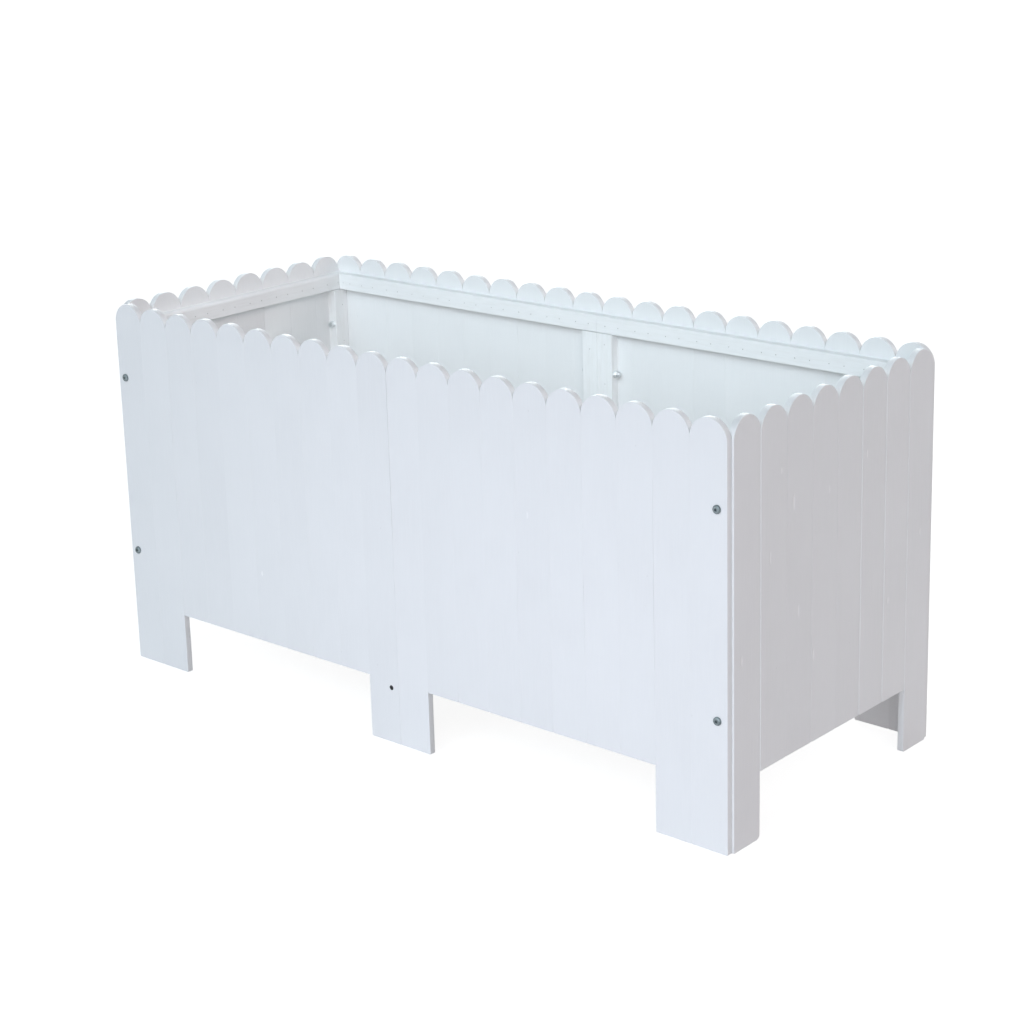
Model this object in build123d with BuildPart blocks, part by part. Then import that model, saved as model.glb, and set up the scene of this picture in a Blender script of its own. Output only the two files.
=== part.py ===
from build123d import *
import os

# Picket-style raised garden bed, in millimetres.
# Frame: +X along the length (to the viewer's right), +Y from front to back,
# +Z up. Origin on the ground under the middle of the bed.

os.makedirs("parts", exist_ok=True)

# ---------------------------------------------------------------- dimensions
PITCH = 60.0            # board to board, on all four sides
BOARD_W = 59.7          # board width; 0.3 joint between neighbours
BOARD_T = 10.0          # board thickness
BOARDS_LONG = 20        # boards in a long side, in two halves of ten
BOARDS_SHORT = 8        # boards in a short side
HEIGHT = 600.0          # ground to the crown of a board
LEG_H = 98.0            # ground to the bottom of an ordinary board
TOP_R = BOARD_W / 2     # half-round board top
EASE = 0.6              # eased arris around a board face
LEG_CORNER = 2.0        # worn-round bottom corners of the leg boards

WIDTH = 500.0           # over the faces of the two long sides
LONG_OUT = WIDTH / 2                    # outer face of a long side, in Y
LONG_IN = LONG_OUT - BOARD_T            # its inner face
SIDE_PROUD = 3.0                        # a short side stands this far past
SIDE_OUT = BOARDS_LONG * PITCH / 2 + SIDE_PROUD   # outer face of a short side
SIDE_IN = SIDE_OUT - BOARD_T

RAIL_H = 28.0
RAIL_T = 15.0
TOP_RAIL_Z = 540.0      # underside of the top rails
LOW_RAIL_Z = 102.0      # underside of the bottom rails
LOW_RAIL_TOP = LOW_RAIL_Z + RAIL_H
SIDE_RAIL_IN = SIDE_IN - RAIL_T         # inner face of a short rail, in X
LONG_RAIL_IN = LONG_IN - RAIL_T         # inner face of a long rail, in Y
LONG_RAIL_END = SIDE_RAIL_IN - 1.0      # outer end of a long rail

POST_X = 18.0           # corner post, along X
POST_Y = 28.0           # corner post, along Y
BATTEN_W = 29.8         # joining batten at the middle of a long side
UPRIGHT_GAP = 0.5       # clearance of an upright to the rails above and below
UP_Z0 = LOW_RAIL_TOP + UPRIGHT_GAP
UP_Z1 = TOP_RAIL_Z - UPRIGHT_GAP
POST_CX = SIDE_IN - POST_X / 2
POST_CY = LONG_IN - 0.5 - POST_Y / 2
BATTEN_CX = 0.1 + BATTEN_W / 2
BATTEN_CY = LONG_IN - RAIL_T / 2

BEARER_W = 28.0         # cross bearer between the middle legs
BEARER_H = 28.0
BEARER_X = -15.0
BEARER_Z = LOW_RAIL_Z - BEARER_H / 2

SLAT_W = 60.0           # floor slats, laid across the bed
SLAT_GAP = 4.0          # drainage gap
SLAT_T = 10.0
SLAT_L = 476.0
SLATS_HALF = 9
NOTCH_X = 31.0          # notch round the joining battens
NOTCH_Y = 224.0

# bolts, washers and nuts
BOLT_D = 6.0
BOLT_HOLE_D = 7.0
BOLT_HEAD_D = 12.0
BOLT_HEAD_H = 3.4
SOCKET_AF = 4.0
SOCKET_DEPTH = 2.4
CORNER_BOLT_L = 45.5
CENTRE_BOLT_L = 70.0
WASHER_D = 12.0
WASHER_BORE_D = 6.4
WASHER_T = 1.2
NUT_AF = 10.0
NUT_T = 5.2
NUT_BORE_D = 6.2
CORNER_BOLT_Z = (189.0, 479.0)
CENTRE_BOLT_Z = (189.0, 475.0)

# wood screws into the ends of the cross bearer
SCREW_D = 4.0
SCREW_HEAD_D = 7.6
SCREW_L = 40.0
SCREW_CLEAR = 0.1

# brads, rectangular wire, driven from the inside and set below the surface
BRAD_A = 1.5            # across, level
BRAD_B = 1.5            # across, upright
BRAD_CLEAR = 0.1
BRAD_SET = 0.6          # how far the head lies below the surface
BRAD_IN = 7.0           # how far the hole runs into a board
BRAD_STEP = 13.0        # each brad from the middle of its board
TOP_BRAD_Z = TOP_RAIL_Z + 12.0
LOW_BRAD_Z = LOW_RAIL_Z + 14.0
BATTEN_BRAD_Z = {        # left and right batten
    -1: (511.0, 428.0, 345.0, 262.0, 179.0),
    1: (522.0, 458.0, 394.0, 330.0, 266.0, 202.0, 146.0),
}
POST_BRAD_Z = (512.0, 448.0, 384.0, 320.0, 256.0, 152.0)
POST_BRAD_Y = LONG_IN - 12.0

# ------------------------------------------------------------ derived places
HALF_N = BOARDS_LONG // 2
LONG_X = [(i + 0.5 - HALF_N) * PITCH for i in range(BOARDS_LONG)]
SHORT_Y = [(i + 0.5 - BOARDS_SHORT / 2) * PITCH for i in range(BOARDS_SHORT)]
LONG_LEGS = [1, 2, 10, 11, 19, 20]      # boards that reach the ground


def long_brad_x(number):
    # The two brads of a long-side board. The end boards overlap the short
    # side, so theirs lie further in, where the rail is.
    x = LONG_X[number - 1]
    if number == 1:
        return [x + 2.0, x + 18.0]
    if number == BOARDS_LONG:
        return [x - 18.0, x - 2.0]
    return [x - BRAD_STEP, x + BRAD_STEP]


def board_outline(x, foot):
    # Upright board with a half-round top, drawn in the current sketch.
    with Locations((x, foot)):
        Rectangle(BOARD_W, HEIGHT - TOP_R - foot, align=(Align.CENTER, Align.MIN))
    with Locations((x, HEIGHT - TOP_R)):
        Circle(TOP_R)


def brad_marks(points):
    with Locations(*points):
        Rectangle(BRAD_A + 2 * BRAD_CLEAR, BRAD_B + 2 * BRAD_CLEAR)


# ------------------------------------------------------- boards of long sides
# name, plane of the outer face, sign of Y of that face
for side, sign in (("front", -1), ("back", 1)):
    # Plane.XZ looks along -Y, so its offset is minus Y.
    face_low_y = Plane.XZ.offset(LONG_OUT if sign < 0 else -LONG_IN)
    inner = Plane.XZ.offset(-sign * LONG_IN)
    outer = Plane.XZ.offset(-sign * LONG_OUT)

    # leg boards, one piece each
    for number in LONG_LEGS:
        x = LONG_X[number - 1]
        with BuildPart() as leg_board:
            with BuildSketch(face_low_y):
                board_outline(x, 0.0)
            extrude(amount=-BOARD_T)
            fillet(
                leg_board.edges().filter_by(Axis.Y).group_by(Axis.Z)[0],
                radius=LEG_CORNER,
            )
            fillet(
                leg_board.faces().filter_by(Axis.Y).edges(), radius=EASE
            )
            # rail brads
            marks = [(bx, TOP_BRAD_Z) for bx in long_brad_x(number)]
            marks += [(bx, LOW_BRAD_Z) for bx in long_brad_x(number)]
            # joining batten brads
            if number in (HALF_N, HALF_N + 1):
                hs = -1 if number == HALF_N else 1
                marks += [(hs * BATTEN_CX, z) for z in BATTEN_BRAD_Z[hs]]
            with BuildSketch(inner):
                brad_marks(marks)
            extrude(amount=sign * -BRAD_IN, mode=Mode.SUBTRACT)
            # corner bolts
            if number in (1, BOARDS_LONG):
                px = -POST_CX if number == 1 else POST_CX
                with BuildSketch(outer):
                    with Locations(*[(px, z) for z in CORNER_BOLT_Z]):
                        Circle(BOLT_HOLE_D / 2)
                extrude(amount=sign * BOARD_T, mode=Mode.SUBTRACT)
            # screw into the cross bearer, head sunk flush
            if number == HALF_N:
                out_dir = (0, sign, 0)
                with Locations(
                    Plane(
                        origin=(BEARER_X, sign * LONG_OUT, BEARER_Z),
                        x_dir=(1, 0, 0),
                        z_dir=out_dir,
                    )
                ):
                    CounterSinkHole(
                        radius=SCREW_D / 2 + SCREW_CLEAR,
                        counter_sink_radius=SCREW_HEAD_D / 2 + SCREW_CLEAR,
                        depth=BOARD_T,
                        counter_sink_angle=90,
                    )
        leg_board.part.label = f"{side}_leg_board_{number:02d}"
        export_step(leg_board.part, f"parts/{side}_leg_board_{number:02d}.step")

    # the seven ordinary boards of each half
    for half, numbers in (("left", range(3, 10)), ("right", range(12, 19))):
        with BuildPart() as pickets:
            with BuildSketch(face_low_y):
                for number in numbers:
                    board_outline(LONG_X[number - 1], LEG_H)
            extrude(amount=-BOARD_T)
            fillet(pickets.faces().filter_by(Axis.Y).edges(), radius=EASE)
            marks = []
            for number in numbers:
                for bx in long_brad_x(number):
                    marks += [(bx, TOP_BRAD_Z), (bx, LOW_BRAD_Z)]
            with BuildSketch(inner):
                brad_marks(marks)
            extrude(amount=sign * -BRAD_IN, mode=Mode.SUBTRACT)
        pickets.part.label = f"{side}_{half}_boards"
        export_step(pickets.part, f"parts/{side}_{half}_boards.step")

    # rails of each half, top and bottom, inside the boards
    for half, numbers, hs in (
        ("left", range(1, 11), -1),
        ("right", range(11, 21), 1),
    ):
        for level, z0, brad_z in (
            ("top", TOP_RAIL_Z, TOP_BRAD_Z),
            ("bottom", LOW_RAIL_Z, LOW_BRAD_Z),
        ):
            mid_x = hs * (0.15 + LONG_RAIL_END) / 2
            with BuildPart() as rail:
                with BuildSketch(Plane.XY.offset(z0)):
                    with Locations((mid_x, sign * (LONG_IN - RAIL_T / 2))):
                        Rectangle(LONG_RAIL_END - 0.15, RAIL_T)
                extrude(amount=RAIL_H)
                fillet(
                    rail.faces()
                    .sort_by(Axis.Y)[0 if sign > 0 else -1]
                    .edges()
                    .filter_by(Axis.X),
                    radius=1.5,
                )
                with BuildSketch(Plane.XZ.offset(-sign * LONG_RAIL_IN)):
                    brad_marks(
                        [(bx, brad_z) for n in numbers for bx in long_brad_x(n)]
                    )
                extrude(amount=sign * -RAIL_T, mode=Mode.SUBTRACT)
            rail.part.label = f"{side}_{half}_{level}_rail"
            export_step(rail.part, f"parts/{side}_{half}_{level}_rail.step")

    # joining battens at the middle, one on each half, bolted to each other
    for half, hs in (("left", -1), ("right", 1)):
        with BuildPart() as batten:
            with BuildSketch(Plane.XY.offset(UP_Z0)):
                with Locations((hs * BATTEN_CX, sign * BATTEN_CY)):
                    Rectangle(BATTEN_W, RAIL_T)
            extrude(amount=UP_Z1 - UP_Z0)
            fillet(
                batten.faces()
                .sort_by(Axis.Y)[0 if sign > 0 else -1]
                .edges()
                .filter_by(Axis.Z),
                radius=1.0,
            )
            with BuildSketch(Plane.XZ.offset(-sign * LONG_RAIL_IN)):
                brad_marks([(hs * BATTEN_CX, z) for z in BATTEN_BRAD_Z[hs]])
            extrude(amount=sign * -RAIL_T, mode=Mode.SUBTRACT)
            with BuildSketch(Plane.YZ.offset(hs * BATTEN_CX)):
                with Locations(*[(sign * BATTEN_CY, z) for z in CENTRE_BOLT_Z]):
                    Circle(BOLT_HOLE_D / 2)
            extrude(amount=BATTEN_W, both=True, mode=Mode.SUBTRACT)
        batten.part.label = f"{side}_{half}_joining_batten"
        export_step(batten.part, f"parts/{side}_{half}_joining_batten.step")

# ------------------------------------------------------ boards of short sides
for side, sign in (("left", -1), ("right", 1)):
    # Plane.YZ looks along +X.
    face_low_x = Plane.YZ.offset(-SIDE_OUT if sign < 0 else SIDE_IN)
    inner = Plane.YZ.offset(sign * SIDE_IN)

    # leg boards at the two ends
    for end, index in (("front", 0), ("back", BOARDS_SHORT - 1)):
        y = SHORT_Y[index]
        post_y = -POST_BRAD_Y if end == "front" else POST_BRAD_Y
        with BuildPart() as side_leg:
            with BuildSketch(face_low_x):
                board_outline(y, 0.0)
            extrude(amount=BOARD_T)
            fillet(
                side_leg.edges().filter_by(Axis.X).group_by(Axis.Z)[0],
                radius=LEG_CORNER * 2,
            )
            fillet(side_leg.faces().filter_by(Axis.X).edges(), radius=EASE)
            marks = [
                (y + dy, z)
                for dy in (-BRAD_STEP, BRAD_STEP)
                for z in (TOP_BRAD_Z, LOW_BRAD_Z)
            ]
            marks += [(post_y, z) for z in POST_BRAD_Z]
            with BuildSketch(inner):
                brad_marks(marks)
            extrude(amount=sign * BRAD_IN, mode=Mode.SUBTRACT)
        side_leg.part.label = f"{side}_{end}_leg_board"
        export_step(side_leg.part, f"parts/{side}_{end}_leg_board.step")

    # the six ordinary boards between them
    with BuildPart() as side_boards:
        with BuildSketch(face_low_x):
            for y in SHORT_Y[1:-1]:
                board_outline(y, LEG_H)
        extrude(amount=BOARD_T)
        fillet(side_boards.faces().filter_by(Axis.X).edges(), radius=EASE)
        with BuildSketch(inner):
            brad_marks(
                [
                    (y + dy, z)
                    for y in SHORT_Y[1:-1]
                    for dy in (-BRAD_STEP, BRAD_STEP)
                    for z in (TOP_BRAD_Z, LOW_BRAD_Z)
                ]
            )
        extrude(amount=sign * BRAD_IN, mode=Mode.SUBTRACT)
    side_boards.part.label = f"{side}_side_boards"
    export_step(side_boards.part, f"parts/{side}_side_boards.step")

    # full-length rails
    for level, z0, brad_z in (
        ("top", TOP_RAIL_Z, TOP_BRAD_Z),
        ("bottom", LOW_RAIL_Z, LOW_BRAD_Z),
    ):
        with BuildPart() as side_rail:
            with BuildSketch(Plane.XY.offset(z0)):
                with Locations((sign * (SIDE_IN - RAIL_T / 2), 0)):
                    Rectangle(RAIL_T, 2 * LONG_IN - 1.0)
            extrude(amount=RAIL_H)
            # the inner top edge is planed well round
            fillet(
                side_rail.faces()
                .sort_by(Axis.X)[0 if sign > 0 else -1]
                .edges()
                .filter_by(Axis.Y)
                .sort_by(Axis.Z)[-1],
                radius=5.0,
            )
            fillet(
                side_rail.faces()
                .sort_by(Axis.X)[0 if sign > 0 else -1]
                .edges()
                .filter_by(Axis.Y)
                .sort_by(Axis.Z)[0],
                radius=1.5,
            )
            with BuildSketch(Plane.YZ.offset(sign * SIDE_RAIL_IN)):
                brad_marks(
                    [
                        (y + dy, brad_z)
                        for y in SHORT_Y
                        for dy in (-BRAD_STEP, BRAD_STEP)
                    ]
                )
            extrude(amount=sign * RAIL_T, mode=Mode.SUBTRACT)
        side_rail.part.label = f"{side}_{level}_rail"
        export_step(side_rail.part, f"parts/{side}_{level}_rail.step")

    # corner posts between the rails; the long sides bolt onto these
    for end, es in (("front", -1), ("back", 1)):
        with BuildPart() as post:
            with BuildSketch(Plane.XY.offset(UP_Z0)):
                with Locations((sign * POST_CX, es * POST_CY)):
                    Rectangle(POST_X, POST_Y)
            extrude(amount=UP_Z1 - UP_Z0)
            fillet(
                post.faces()
                .sort_by(Axis.X)[0 if sign > 0 else -1]
                .edges()
                .filter_by(Axis.Z),
                radius=1.0,
            )
            with BuildSketch(Plane.XZ.offset(-es * POST_CY)):
                with Locations(*[(sign * POST_CX, z) for z in CORNER_BOLT_Z]):
                    Circle(BOLT_HOLE_D / 2)
            extrude(amount=POST_Y, both=True, mode=Mode.SUBTRACT)
            with BuildSketch(Plane.YZ.offset(sign * (SIDE_IN - POST_X))):
                brad_marks([(es * POST_BRAD_Y, z) for z in POST_BRAD_Z])
            extrude(amount=sign * POST_X, mode=Mode.SUBTRACT)
        post.part.label = f"{side}_{end}_corner_post"
        export_step(post.part, f"parts/{side}_{end}_corner_post.step")

# ------------------------------------------------------------- cross bearer
with BuildPart() as cross_bearer:
    with BuildSketch(Plane.XY.offset(LOW_RAIL_Z - BEARER_H)):
        with Locations((BEARER_X, 0)):
            Rectangle(BEARER_W, 2 * LONG_IN)
    extrude(amount=BEARER_H)
    for sign in (-1, 1):
        with BuildSketch(Plane.XZ.offset(-sign * LONG_IN)):
            with Locations((BEARER_X, BEARER_Z)):
                Circle(SCREW_D / 2 + SCREW_CLEAR)
        extrude(amount=sign * (SCREW_L - BOARD_T + 2.0), mode=Mode.SUBTRACT)
cross_bearer.part.label = "cross_bearer"
export_step(cross_bearer.part, "parts/cross_bearer.step")

# --------------------------------------------------------------- floor slats
SLAT_X = [(i + 0.5) * (SLAT_W + SLAT_GAP) for i in range(SLATS_HALF)]
for half, hs in (("left", -1), ("right", 1)):
    with BuildPart() as slats:
        with BuildSketch(Plane.XY.offset(LOW_RAIL_TOP)):
            with Locations(*[(hs * x, 0) for x in SLAT_X[1:]]):
                Rectangle(SLAT_W, SLAT_L)
        extrude(amount=SLAT_T)
        fillet(
            slats.faces().group_by(Axis.Z)[-1].edges().filter_by(Axis.Y),
            radius=1.0,
        )
    slats.part.label = f"floor_slats_{half}"
    export_step(slats.part, f"parts/floor_slats_{half}.step")

    # the slat beside the middle is notched round the joining battens
    near_edge = SLAT_X[0] - SLAT_W / 2
    with BuildPart() as notched_slat:
        with BuildSketch(Plane.XY.offset(LOW_RAIL_TOP)):
            with Locations((hs * SLAT_X[0], 0)):
                Rectangle(SLAT_W, SLAT_L)
            with Locations(
                *[
                    (
                        hs * (near_edge + NOTCH_X) / 2,
                        ys * (NOTCH_Y + SLAT_L / 2) / 2,
                    )
                    for ys in (-1, 1)
                ]
            ):
                Rectangle(
                    NOTCH_X - near_edge, SLAT_L / 2 - NOTCH_Y, mode=Mode.SUBTRACT
                )
        extrude(amount=SLAT_T)
    notched_slat.part.label = f"floor_slat_notched_{half}"
    export_step(notched_slat.part, f"parts/floor_slat_notched_{half}.step")

# ---------------------------------------------------------------- fasteners
# Corner bolts: low domed head outside, shank in through board and post.
corner_spots = [
    (xs * POST_CX, ys, z) for xs in (-1, 1) for ys in (-1, 1) for z in CORNER_BOLT_Z
]
with BuildPart() as corner_bolts:
    for px, ys, z in corner_spots:
        # local +Z points out of the bed
        head = Plane(
            origin=(px, ys * LONG_OUT, z), x_dir=(1, 0, 0), z_dir=(0, ys, 0)
        )
        with BuildSketch(head):
            Circle(BOLT_HEAD_D / 2)
        extrude(amount=BOLT_HEAD_H)
        with BuildSketch(head):
            Circle(BOLT_D / 2)
        extrude(amount=-CORNER_BOLT_L)
    crowns = corner_bolts.edges().filter_by(GeomType.CIRCLE).filter_by(
        lambda e: abs(e.radius - BOLT_HEAD_D / 2) < 1e-3
        and abs(abs(e.center().Y) - LONG_OUT - BOLT_HEAD_H) < 1e-3
    )
    fillet(crowns, radius=2.2)
    for px, ys, z in corner_spots:
        with BuildSketch(
            Plane(
                origin=(px, ys * (LONG_OUT + BOLT_HEAD_H), z),
                x_dir=(1, 0, 0),
                z_dir=(0, ys, 0),
            )
        ):
            RegularPolygon(SOCKET_AF / 2, 6, major_radius=False)
        extrude(amount=-SOCKET_DEPTH, mode=Mode.SUBTRACT)
corner_bolts.part.label = "corner_bolts"
export_step(corner_bolts.part, "parts/corner_bolts.step")

# Joining bolts: along X through both battens, head to the left.
BATTEN_FACE = BATTEN_CX + BATTEN_W / 2
centre_spots = [(ys * BATTEN_CY, z) for ys in (-1, 1) for z in CENTRE_BOLT_Z]
with BuildPart() as joining_bolts:
    for y, z in centre_spots:
        head = Plane(origin=(-BATTEN_FACE, y, z), x_dir=(0, 1, 0), z_dir=(-1, 0, 0))
        with BuildSketch(head):
            Circle(BOLT_HEAD_D / 2)
        extrude(amount=BOLT_HEAD_H)
        with BuildSketch(head):
            Circle(BOLT_D / 2)
        extrude(amount=-CENTRE_BOLT_L)
    crowns = joining_bolts.edges().filter_by(GeomType.CIRCLE).filter_by(
        lambda e: abs(e.radius - BOLT_HEAD_D / 2) < 1e-3
        and abs(e.center().X + BATTEN_FACE + BOLT_HEAD_H) < 1e-3
    )
    fillet(crowns, radius=2.2)
    for y, z in centre_spots:
        with BuildSketch(
            Plane(
                origin=(-BATTEN_FACE - BOLT_HEAD_H, y, z),
                x_dir=(0, 1, 0),
                z_dir=(-1, 0, 0),
            )
        ):
            RegularPolygon(SOCKET_AF / 2, 6, major_radius=False)
        extrude(amount=-SOCKET_DEPTH, mode=Mode.SUBTRACT)
joining_bolts.part.label = "joining_bolts"
export_step(joining_bolts.part, "parts/joining_bolts.step")

# Washers and nuts on the inner ends. Each place is the face the washer bears
# on, with local +Z pointing away from the wood.
POST_FACE = POST_CY - POST_Y / 2
nut_planes = [
    Plane(origin=(px, ys * POST_FACE, z), x_dir=(1, 0, 0), z_dir=(0, -ys, 0))
    for px, ys, z in corner_spots
]
nut_planes += [
    Plane(origin=(BATTEN_FACE, y, z), x_dir=(0, 1, 0), z_dir=(1, 0, 0))
    for y, z in centre_spots
]
with BuildPart() as bolt_washers:
    for seat in nut_planes:
        with BuildSketch(seat):
            Circle(WASHER_D / 2)
            Circle(WASHER_BORE_D / 2, mode=Mode.SUBTRACT)
        extrude(amount=WASHER_T)
bolt_washers.part.label = "bolt_washers"
export_step(bolt_washers.part, "parts/bolt_washers.step")

with BuildPart() as bolt_nuts:
    for seat in nut_planes:
        with BuildSketch(seat.offset(WASHER_T)):
            RegularPolygon(NUT_AF / 2, 6, major_radius=False)
            Circle(NUT_BORE_D / 2, mode=Mode.SUBTRACT)
        extrude(amount=NUT_T)
bolt_nuts.part.label = "bolt_nuts"
export_step(bolt_nuts.part, "parts/bolt_nuts.step")

# Two countersunk screws hold the middle legs to the cross bearer.
SINK = (SCREW_HEAD_D - SCREW_D) / 2
with BuildPart() as bearer_screws:
    for ys in (-1, 1):
        # profile in the YZ plane, revolved about the screw's axis
        y_out = ys * (LONG_OUT - SCREW_CLEAR)
        with BuildSketch(Plane.YZ.offset(BEARER_X)):
            with BuildLine():
                Polyline(
                    (y_out, BEARER_Z),
                    (y_out, BEARER_Z + SCREW_HEAD_D / 2),
                    (y_out - ys * SINK, BEARER_Z + SCREW_D / 2),
                    (y_out - ys * (SCREW_L - 6.0), BEARER_Z + SCREW_D / 2),
                    (y_out - ys * SCREW_L, BEARER_Z),
                    close=True,
                )
            make_face()
        revolve(axis=Axis((BEARER_X, 0, BEARER_Z), (0, 1, 0)))
        # square recess in the head
        with BuildSketch(
            Plane(
                origin=(BEARER_X, y_out, BEARER_Z),
                x_dir=(1, 0, 0),
                z_dir=(0, ys, 0),
            )
        ):
            Rectangle(2.6, 2.6, rotation=45)
        extrude(amount=-1.4, mode=Mode.SUBTRACT)
bearer_screws.part.label = "bearer_screws"
export_step(bearer_screws.part, "parts/bearer_screws.step")

# Brads through rails and joining battens into the boards, all one size; one
# group for each side of the bed.
BRAD_LEN = RAIL_T + BRAD_IN - BRAD_SET - 0.4
for side, sign in (("front", -1), ("back", 1)):
    spots = [
        (bx, z)
        for n in range(1, BOARDS_LONG + 1)
        for bx in long_brad_x(n)
        for z in (TOP_BRAD_Z, LOW_BRAD_Z)
    ]
    spots += [(hs * BATTEN_CX, z) for hs in (-1, 1) for z in BATTEN_BRAD_Z[hs]]
    with BuildPart() as long_brads:
        with BuildSketch(Plane.XZ.offset(-sign * (LONG_RAIL_IN + BRAD_SET))):
            with Locations(*spots):
                Rectangle(BRAD_A, BRAD_B)
        extrude(amount=sign * -BRAD_LEN)
    long_brads.part.label = f"{side}_brads"
    export_step(long_brads.part, f"parts/{side}_brads.step")

for side, sign in (("left", -1), ("right", 1)):
    with BuildPart() as short_brads:
        with BuildSketch(Plane.YZ.offset(sign * (SIDE_RAIL_IN + BRAD_SET))):
            with Locations(
                *[
                    (y + dy, z)
                    for y in SHORT_Y
                    for dy in (-BRAD_STEP, BRAD_STEP)
                    for z in (TOP_BRAD_Z, LOW_BRAD_Z)
                ]
            ):
                Rectangle(BRAD_A, BRAD_B)
        extrude(amount=sign * BRAD_LEN)
    short_brads.part.label = f"{side}_brads"
    export_step(short_brads.part, f"parts/{side}_brads.step")

# Longer brads through the corner posts into the short-side leg boards.
POST_BRAD_LEN = POST_X + BRAD_IN - BRAD_SET - 0.4
for side, sign in (("left", -1), ("right", 1)):
    with BuildPart() as post_brads:
        with BuildSketch(Plane.YZ.offset(sign * (SIDE_IN - POST_X + BRAD_SET))):
            with Locations(
                *[(es * POST_BRAD_Y, z) for es in (-1, 1) for z in POST_BRAD_Z]
            ):
                Rectangle(BRAD_A, BRAD_B)
        extrude(amount=sign * POST_BRAD_LEN)
    post_brads.part.label = f"{side}_post_brads"
    export_step(post_brads.part, f"parts/{side}_post_brads.step")
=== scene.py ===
import math

import bpy
import bmesh
import numpy as np
from mathutils import Matrix, Vector


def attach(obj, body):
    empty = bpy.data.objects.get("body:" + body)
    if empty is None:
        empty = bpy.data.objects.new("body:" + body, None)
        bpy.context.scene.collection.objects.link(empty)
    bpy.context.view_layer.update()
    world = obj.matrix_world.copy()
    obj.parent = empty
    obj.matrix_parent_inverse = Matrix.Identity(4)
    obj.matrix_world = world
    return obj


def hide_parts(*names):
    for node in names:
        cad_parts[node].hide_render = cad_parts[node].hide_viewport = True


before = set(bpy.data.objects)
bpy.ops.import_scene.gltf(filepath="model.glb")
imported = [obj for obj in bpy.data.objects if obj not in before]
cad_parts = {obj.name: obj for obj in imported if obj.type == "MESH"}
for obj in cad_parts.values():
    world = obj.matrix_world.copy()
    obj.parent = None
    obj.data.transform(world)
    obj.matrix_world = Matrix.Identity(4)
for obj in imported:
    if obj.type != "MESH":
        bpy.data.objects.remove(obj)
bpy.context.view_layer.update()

# ---------------------------------------------------------------- dimensions
# Millimetres, as in the CAD frame; meshes are scaled to metres when they are made.
PITCH = 60.0
THICK = 10.0
HALF_LONG = 250.0       # outer faces of the long sides, in Y
HALF_SIDE = 603.0       # outer faces of the short sides, in X
LEG_H = 98.0
N_LONG = 20
N_SHORT = 8
EASE = 0.6              # eased arris round each face
LEGS_LONG = (1, 2, 10, 11, 19, 20)
POST_X = 584.0
RAIL_IN_LONG = 225.0
RAIL_IN_SIDE = 578.0
BRAD_HALF = 0.85


# --------------------------------------------------------- repeatable noise
def hash01(i, j, seed):
    h = (
        np.asarray(i, np.int64) * 73856093
        ^ np.asarray(j, np.int64) * 19349663
        ^ np.int64(seed) * 83492791
    ) & 0x7FFFFFFF
    h = (h * 1103515245 + 12345) & 0x7FFFFFFF
    h = ((h >> 7) ^ h) * 69069 & 0x7FFFFFFF
    return (h % 100003) / 100003.0


def noise(x, y, seed):
    """Smooth value noise from -1 to 1, one cell to a unit."""
    x = np.asarray(x, float)
    y = np.asarray(y, float) + np.zeros_like(x)
    i, j = np.floor(x).astype(np.int64), np.floor(y).astype(np.int64)
    u, v = x - i, y - j
    u, v = u * u * (3 - 2 * u), v * v * (3 - 2 * v)
    a = hash01(i, j, seed)
    b = hash01(i + 1, j, seed)
    c = hash01(i, j + 1, seed)
    d = hash01(i + 1, j + 1, seed)
    return 2 * (a + (b - a) * u + (c - a) * v + (a - b - c + d) * u * v) - 1


def bump(z, lo, hi, soft):
    """1 between lo and hi, falling to 0 over soft at each end."""
    z = np.asarray(z, float)
    return np.clip((z - lo) / soft + 1, 0, 1) * np.clip((hi - z) / soft + 1, 0, 1)


# --------------------------------------------------------------- the walls
# Each wall is flat: u runs along it, z up, d from its outer face inward.
class Wall:
    def __init__(self, name, count, axis, outer, inward, seed):
        self.name, self.count, self.axis = name, count, axis
        self.outer, self.inward, self.seed = outer, inward, seed
        # u x z points along -d for the front and along +outer for the right
        self.flip = name in ("back", "left")

    def place(self, u, z, d):
        across = self.outer + self.inward * d
        if self.axis == "x":
            return np.stack([u, across, z], -1) * 0.001
        return np.stack([across, u, z], -1) * 0.001

    def centre(self, number):
        return (number - 0.5 - self.count / 2) * PITCH


WALLS = {
    "front": Wall("front", N_LONG, "x", -HALF_LONG, 1.0, 11),
    "back": Wall("back", N_LONG, "x", HALF_LONG, -1.0, 23),
    "left": Wall("left", N_SHORT, "y", -HALF_SIDE, 1.0, 37),
    "right": Wall("right", N_SHORT, "y", HALF_SIDE, -1.0, 53),
}

# How far each crown stands below the 600 mm line.
CROWN_DROP = {
    "front": (0.3, 0.7, 1.6, 0.9, 0.0, 0.7, 1.2, 0.3, 1.3, 1.7,
              1.6, 1.3, 1.6, 2.4, 2.2, 1.9, 1.4, 0.9, 1.2, 1.8),
    "back": (2.3, 2.4, 1.6, 1.7, 1.4, 2.6, 1.4, 1.3, 0.9, 1.5,
             1.8, 2.3, 1.5, 1.7, 1.5, 1.3, 1.4, 1.9, 1.7, 1.1),
    "left": (0.3, 0.9, 1.5, 1.2, 0.2, 1.0, 2.0, 2.0),
    "right": (1.6, 2.5, 1.3, 1.5, 1.4, 0.9, 0.8, 0.6),
}

# How far each board's outer face lies behind the face line, and how much it is
# turned: mm at the middle, then mm more at its low-u and its high-u edge.
SEAT = {
    "right": ((0.50, -0.35, 0.35), (0.30, -0.22, 0.30), (0.65, 0.0, 0.05),
              (0.7, 0.0, 0.05), (0.8, -0.05, 0.1), (0.45, -0.15, 0.2),
              (0.3, -0.15, 0.25), (0.40, -0.2, 0.0)),
}

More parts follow.
